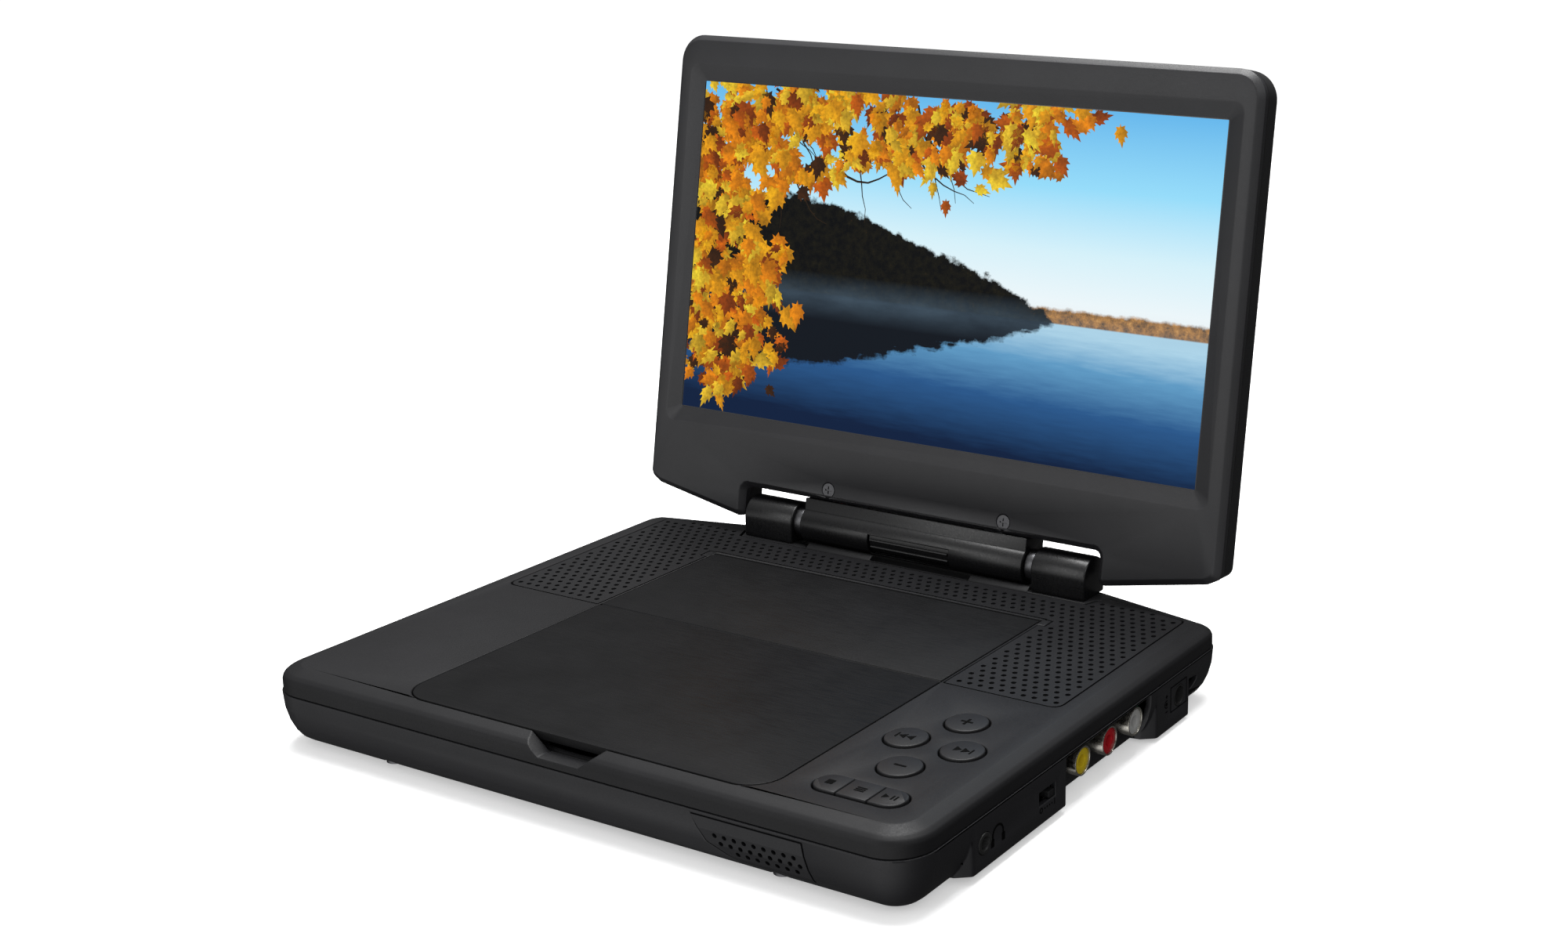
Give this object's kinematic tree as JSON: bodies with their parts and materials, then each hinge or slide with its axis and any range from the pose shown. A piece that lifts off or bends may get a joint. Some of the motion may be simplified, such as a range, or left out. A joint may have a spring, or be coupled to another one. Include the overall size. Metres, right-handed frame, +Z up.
{
  "type": "portable disc player",
  "caption": "Portable disc player with a tilting colour screen on a rear hinge, a lift-up disc door, speaker grilles, round keys and sockets on its right side.",
  "frame": {"origin": "on the table, under the centre of the bounding box with the screen standing at 100 degrees", "axes": "+X to the side with the sockets (right, seen by the viewer), +Y to the back, +Z up"},
  "size_m": [0.2206, 0.199, 0.1877],
  "materials": {
    "shell_black": "fine satin",
    "deck_black": "semi gloss",
    "door_black": "semi gloss",
    "grille_black": "matt, perforated",
    "well_black": "matt",
    "hinge_black": "semi gloss",
    "lid_black": "semi gloss",
    "lid_back_black": "fine satin",
    "key_black": "satin with white marks",
    "socket_black": "matt",
    "yellow_plastic": "satin",
    "red_plastic": "satin",
    "white_plastic": "satin",
    "nickel": "bright",
    "steel": "plain",
    "dark_steel": "blackened",
    "sheet_metal": "plain",
    "rubber_black": "matt",
    "board_green": "varnished",
    "chip_black": "moulded",
    "battery_wrap": "shrink film",
    "cone_paper": "pressed",
    "cable_red": "insulated",
    "screen_glass": "polarised",
    "backlight_frame": "satin",
    "lens_glass": "polished",
    "turntable_black": "satin"
  },
  "bodies": {
    "base": {"bottom_shell": "shell_black", "top_cover": "deck_black", "speaker_grille": "grille_black", "front_vent_panel": "shell_black", "disc_well": "well_black", "left_hinge_cover": "hinge_black", "right_hinge_cover": "hinge_black", "hinge_collars": "dark_steel", "friction_hinge": "steel", "main_board": "board_green", "board_chips": "chip_black", "key_board": "board_green", "key_switches": "nickel", "power_switch_body": "sheet_metal", "headphone_jack": "socket_black", "rca_block": "socket_black", "rca_shells": "nickel", "video_insert": "yellow_plastic", "right_audio_insert": "red_plastic", "left_audio_insert": "white_plastic", "dc_jack": "socket_black", "dc_jack_pin": "nickel", "battery_pack": "battery_wrap", "speaker_drivers": "sheet_metal", "speaker_cones": "cone_paper", "rubber_feet": "rubber_black", "case_screws": "dark_steel", "mech_chassis": "sheet_metal", "chassis_dampers": "rubber_black", "spindle_motor": "steel", "sled_motor": "steel", "guide_rails": "steel", "base_harness": "cable_red"},
    "spindle": {"turntable": "turntable_black", "turntable_ring": "rubber_black", "spindle_shaft": "steel"},
    "sled": {"pickup_sled": "chip_black"},
    "lens": {"objective_lens": "lens_glass"},
    "feed_screw": {"lead_screw": "steel"},
    "door": {"disc_door": "door_black", "door_pins": "steel"},
    "volume_up_button": {"volume_up_key": "key_black"},
    "volume_down_button": {"volume_down_key": "key_black"},
    "previous_button": {"previous_key": "key_black"},
    "next_button": {"next_key": "key_black"},
    "stop_button": {"stop_key": "key_black"},
    "menu_button": {"menu_key": "key_black"},
    "play_button": {"play_key": "key_black"},
    "switch_knob": {"power_switch_knob": "key_black"},
    "lid": {"lid_bezel": "lid_black", "lid_back_cover": "lid_back_black", "lcd_panel": "screen_glass", "lcd_module": "backlight_frame", "driver_board": "board_green", "hinge_barrel": "hinge_black", "cable_cover": "hinge_black", "bezel_screws": "dark_steel", "lid_hinge_shaft": "steel", "cable_bushing": "steel", "lid_harness": "cable_red"}
  },
  "joints": [
    {"name": "lid_hinge", "type": "hinge", "parent": "base", "child": "lid", "pos_m": [0, 0.06499, 0.0297], "axis": [-1, 0, 0], "range_deg": [-100, 45]},
    {"name": "door_hinge", "type": "hinge", "parent": "base", "child": "door", "pos_m": [0, 0.03769, 0.0221], "axis": [-1, 0, 0], "range_deg": [0, 65]},
    {"name": "disc_spin", "type": "hinge", "parent": "base", "child": "spindle", "pos_m": [0, -0.03101, 0.0189], "axis": [0, 0, 1], "continuous": true},
    {"name": "feed_screw_turn", "type": "hinge", "parent": "base", "child": "feed_screw", "pos_m": [0.025, -0.03101, 0.0086], "axis": [0, 1, 0], "range_deg": [0, 2881]},
    {"name": "sled_slide", "type": "slide", "parent": "base", "child": "sled", "axis": [0, -1, 0], "range_m": [0, 0.032]},
    {"name": "lens_focus", "type": "slide", "parent": "sled", "child": "lens", "axis": [0, 0, 1], "range_m": [-0.0004, 0.0004], "stiffness_N_per_m": 60},
    {"name": "volume_up_press", "type": "slide", "parent": "base", "child": "volume_up_button", "axis": [0, 0, -1], "range_m": [0, 0.0005], "stiffness_N_per_m": 800, "springref_m": -0.0005},
    {"name": "volume_down_press", "type": "slide", "parent": "base", "child": "volume_down_button", "axis": [0, 0, -1], "range_m": [0, 0.0005], "stiffness_N_per_m": 800, "springref_m": -0.0005},
    {"name": "previous_press", "type": "slide", "parent": "base", "child": "previous_button", "axis": [0, 0, -1], "range_m": [0, 0.0005], "stiffness_N_per_m": 800, "springref_m": -0.0005},
    {"name": "next_press", "type": "slide", "parent": "base", "child": "next_button", "axis": [0, 0, -1], "range_m": [0, 0.0005], "stiffness_N_per_m": 800, "springref_m": -0.0005},
    {"name": "stop_press", "type": "slide", "parent": "base", "child": "stop_button", "axis": [0, 0, -1], "range_m": [0, 0.0005], "stiffness_N_per_m": 800, "springref_m": -0.0005},
    {"name": "menu_press", "type": "slide", "parent": "base", "child": "menu_button", "axis": [0, 0, -1], "range_m": [0, 0.0005], "stiffness_N_per_m": 800, "springref_m": -0.0005},
    {"name": "play_press", "type": "slide", "parent": "base", "child": "play_button", "axis": [0, 0, -1], "range_m": [0, 0.0005], "stiffness_N_per_m": 800, "springref_m": -0.0005},
    {"name": "power_slide", "type": "slide", "parent": "base", "child": "switch_knob", "axis": [0, -1, 0], "range_m": [0, 0.0045]}
  ],
  "couplings": [
    {"joint": "feed_screw_turn", "follows": "sled_slide", "rad_per_m": 1570.8}
  ]
}
